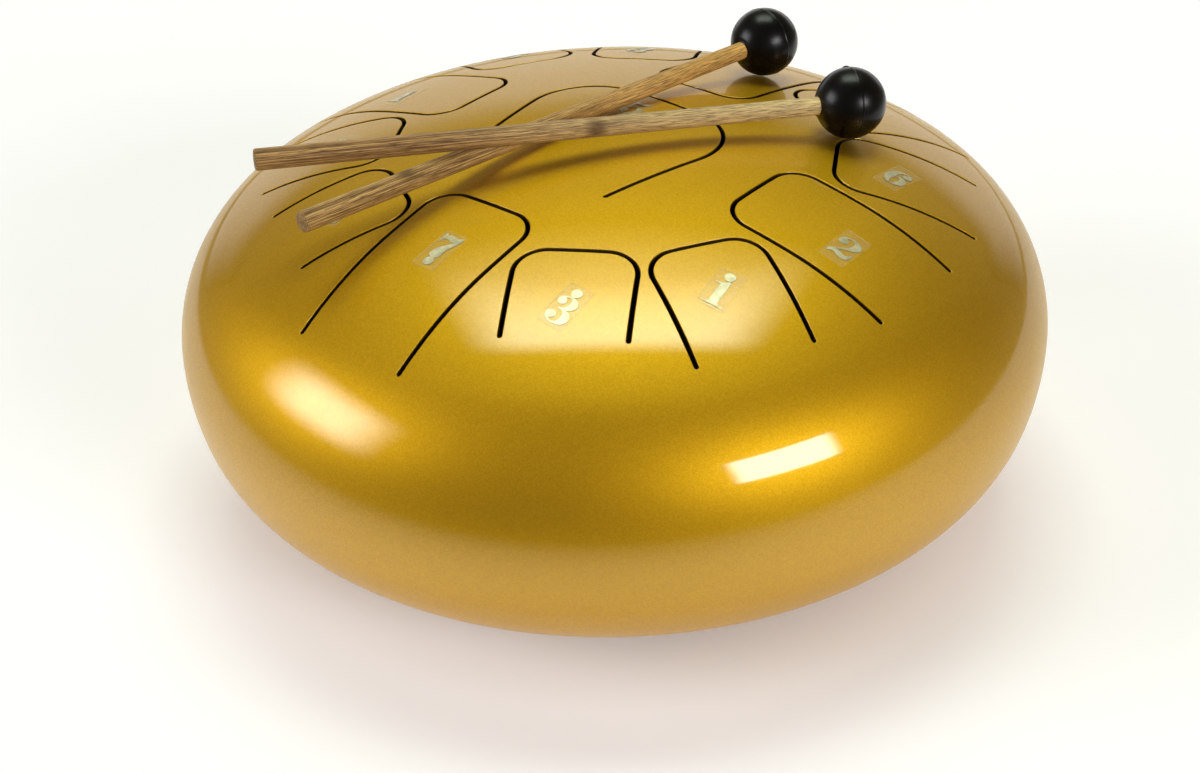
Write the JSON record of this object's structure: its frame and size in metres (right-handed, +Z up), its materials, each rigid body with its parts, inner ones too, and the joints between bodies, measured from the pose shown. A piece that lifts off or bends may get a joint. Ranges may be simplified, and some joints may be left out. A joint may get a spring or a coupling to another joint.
{
  "type": "steel tongue drum",
  "caption": "Round steel drum of two pressed bowls with slot-cut tongues as notes, rubber feet and a pair of rubber-headed wooden mallets resting on top.",
  "frame": {"origin": "on the drum's axis in the plane that the feet stand on", "axes": "+Z up along the drum's axis; -Y towards the player, so the numerals read upright along +Y; +X to the player's right"},
  "size_m": [0.3, 0.3, 0.1502],
  "materials": {
    "upper_shell": "gold pearl paint under a gloss clear coat",
    "lower_shell": "gold pearl paint under a gloss clear coat",
    "seam_weld": "gold pearl paint under a gloss clear coat",
    "tongue_low_5": "gold pearl paint under a gloss clear coat",
    "label_low_5": "clear film sticker with a pale gold foil numeral",
    "tongue_low_6": "gold pearl paint under a gloss clear coat",
    "label_low_6": "clear film sticker with a pale gold foil numeral",
    "tongue_low_7": "gold pearl paint under a gloss clear coat",
    "label_low_7": "clear film sticker with a pale gold foil numeral",
    "tongue_mid_1": "gold pearl paint under a gloss clear coat",
    "label_mid_1": "clear film sticker with a pale gold foil numeral",
    "tongue_mid_2": "gold pearl paint under a gloss clear coat",
    "label_mid_2": "clear film sticker with a pale gold foil numeral",
    "tongue_mid_3": "gold pearl paint under a gloss clear coat",
    "label_mid_3": "clear film sticker with a pale gold foil numeral",
    "tongue_mid_4": "gold pearl paint under a gloss clear coat",
    "label_mid_4": "clear film sticker with a pale gold foil numeral",
    "tongue_mid_5": "gold pearl paint under a gloss clear coat",
    "label_mid_5": "clear film sticker with a pale gold foil numeral",
    "tongue_mid_6": "gold pearl paint under a gloss clear coat",
    "label_mid_6": "clear film sticker with a pale gold foil numeral",
    "tongue_mid_7": "gold pearl paint under a gloss clear coat",
    "label_mid_7": "clear film sticker with a pale gold foil numeral",
    "tongue_high_1": "gold pearl paint under a gloss clear coat",
    "label_high_1": "clear film sticker with a pale gold foil numeral",
    "tongue_high_2": "gold pearl paint under a gloss clear coat",
    "label_high_2": "clear film sticker with a pale gold foil numeral",
    "tongue_high_3": "gold pearl paint under a gloss clear coat",
    "label_high_3": "clear film sticker with a pale gold foil numeral",
    "foot_rear_right": "matt black moulded rubber",
    "foot_rear_left": "matt black moulded rubber",
    "foot_front_left": "matt black moulded rubber",
    "foot_front_right": "matt black moulded rubber",
    "foot_screws": "zinc plated steel",
    "foot_nuts": "zinc plated steel",
    "lower_mallet_handle": "oiled brown hardwood with an open grain",
    "lower_mallet_head": "satin black moulded rubber",
    "upper_mallet_handle": "oiled brown hardwood with an open grain",
    "upper_mallet_head": "satin black moulded rubber"
  },
  "bodies": {
    "drum": {"upper_shell": "upper_shell", "lower_shell": "lower_shell", "seam_weld": "seam_weld", "foot_rear_right": "foot_rear_right", "foot_rear_left": "foot_rear_left", "foot_front_left": "foot_front_left", "foot_front_right": "foot_front_right", "foot_screws": "foot_screws", "foot_nuts": "foot_nuts"},
    "note_low_5": {"tongue_low_5": "tongue_low_5", "label_low_5": "label_low_5"},
    "note_low_6": {"tongue_low_6": "tongue_low_6", "label_low_6": "label_low_6"},
    "note_low_7": {"tongue_low_7": "tongue_low_7", "label_low_7": "label_low_7"},
    "note_mid_1": {"tongue_mid_1": "tongue_mid_1", "label_mid_1": "label_mid_1"},
    "note_mid_2": {"tongue_mid_2": "tongue_mid_2", "label_mid_2": "label_mid_2"},
    "note_mid_3": {"tongue_mid_3": "tongue_mid_3", "label_mid_3": "label_mid_3"},
    "note_mid_4": {"tongue_mid_4": "tongue_mid_4", "label_mid_4": "label_mid_4"},
    "note_mid_5": {"tongue_mid_5": "tongue_mid_5", "label_mid_5": "label_mid_5"},
    "note_mid_6": {"tongue_mid_6": "tongue_mid_6", "label_mid_6": "label_mid_6"},
    "note_mid_7": {"tongue_mid_7": "tongue_mid_7", "label_mid_7": "label_mid_7"},
    "note_high_1": {"tongue_high_1": "tongue_high_1", "label_high_1": "label_high_1"},
    "note_high_2": {"tongue_high_2": "tongue_high_2", "label_high_2": "label_high_2"},
    "note_high_3": {"tongue_high_3": "tongue_high_3", "label_high_3": "label_high_3"},
    "lower_mallet": {"lower_mallet_handle": "lower_mallet_handle", "lower_mallet_head": "lower_mallet_head"},
    "upper_mallet": {"upper_mallet_handle": "upper_mallet_handle", "upper_mallet_head": "upper_mallet_head"}
  },
  "joints": [
    {"name": "flex_low_5", "type": "hinge", "parent": "drum", "child": "note_low_5", "pos_m": [-0.00201, -0.03484, 0.13038], "axis": [0.9983, -0.0576, 0], "range_deg": [-0.269, 0.269], "stiffness_Nm_per_rad": 121.2},
    {"name": "flex_low_6", "type": "hinge", "parent": "drum", "child": "note_low_6", "pos_m": [0, 0.124, 0.10676], "axis": [-1, 0, 0], "range_deg": [-0.225, 0.225], "stiffness_Nm_per_rad": 158.8},
    {"name": "flex_low_7", "type": "hinge", "parent": "drum", "child": "note_low_7", "pos_m": [0, -0.1258, 0.10565], "axis": [1, 0, 0], "range_deg": [-0.259, 0.259], "stiffness_Nm_per_rad": 135.7},
    {"name": "flex_mid_1", "type": "hinge", "parent": "drum", "child": "note_mid_1", "pos_m": [-0.122, 0, 0.10796], "axis": [0, -1, 0], "range_deg": [-0.267, 0.267], "stiffness_Nm_per_rad": 128.3},
    {"name": "flex_mid_2", "type": "hinge", "parent": "drum", "child": "note_mid_2", "pos_m": [0.121, 0, 0.10854], "axis": [0, 1, 0], "range_deg": [-0.285, 0.285], "stiffness_Nm_per_rad": 138.7},
    {"name": "flex_mid_3", "type": "hinge", "parent": "drum", "child": "note_mid_3", "pos_m": [-0.0645, 0.11172, 0.1035], "axis": [-0.866, -0.5, 0], "range_deg": [-0.315, 0.315], "stiffness_Nm_per_rad": 125.8},
    {"name": "flex_mid_4", "type": "hinge", "parent": "drum", "child": "note_mid_4", "pos_m": [0.0636, 0.11016, 0.10475], "axis": [-0.866, 0.5, 0], "range_deg": [-0.327, 0.327], "stiffness_Nm_per_rad": 127.3},
    {"name": "flex_mid_5", "type": "hinge", "parent": "drum", "child": "note_mid_5", "pos_m": [-0.11172, 0.0645, 0.1035], "axis": [-0.5, -0.866, 0], "range_deg": [-0.36, 0.36], "stiffness_Nm_per_rad": 119.8},
    {"name": "flex_mid_6", "type": "hinge", "parent": "drum", "child": "note_mid_6", "pos_m": [0.10591, 0.06115, 0.10778], "axis": [-0.5, 0.866, 0], "range_deg": [-0.371, 0.371], "stiffness_Nm_per_rad": 136},
    {"name": "flex_mid_7", "type": "hinge", "parent": "drum", "child": "note_mid_7", "pos_m": [-0.10089, -0.05825, 0.11099], "axis": [0.5, -0.866, 0], "range_deg": [-0.4, 0.4], "stiffness_Nm_per_rad": 135.1},
    {"name": "flex_high_1", "type": "hinge", "parent": "drum", "child": "note_high_1", "pos_m": [0.10271, -0.0593, 0.10987], "axis": [0.5, 0.866, 0], "range_deg": [-0.401, 0.401], "stiffness_Nm_per_rad": 149.4},
    {"name": "flex_high_2", "type": "hinge", "parent": "drum", "child": "note_high_2", "pos_m": [-0.0559, -0.09682, 0.1133], "axis": [0.866, -0.5, 0], "range_deg": [-0.446, 0.446], "stiffness_Nm_per_rad": 133.5},
    {"name": "flex_high_3", "type": "hinge", "parent": "drum", "child": "note_high_3", "pos_m": [0.05696, -0.09258, 0.11469], "axis": [0.8517, 0.524, 0], "range_deg": [-0.493, 0.493], "stiffness_Nm_per_rad": 126},
    {"name": "lower_mallet_lift", "type": "slide", "parent": "drum", "child": "lower_mallet", "axis": [0, 0, 1], "range_m": [0, 0.15]},
    {"name": "upper_mallet_lift", "type": "slide", "parent": "lower_mallet", "child": "upper_mallet", "axis": [0, 0, 1], "range_m": [0, 0.15]}
  ]
}
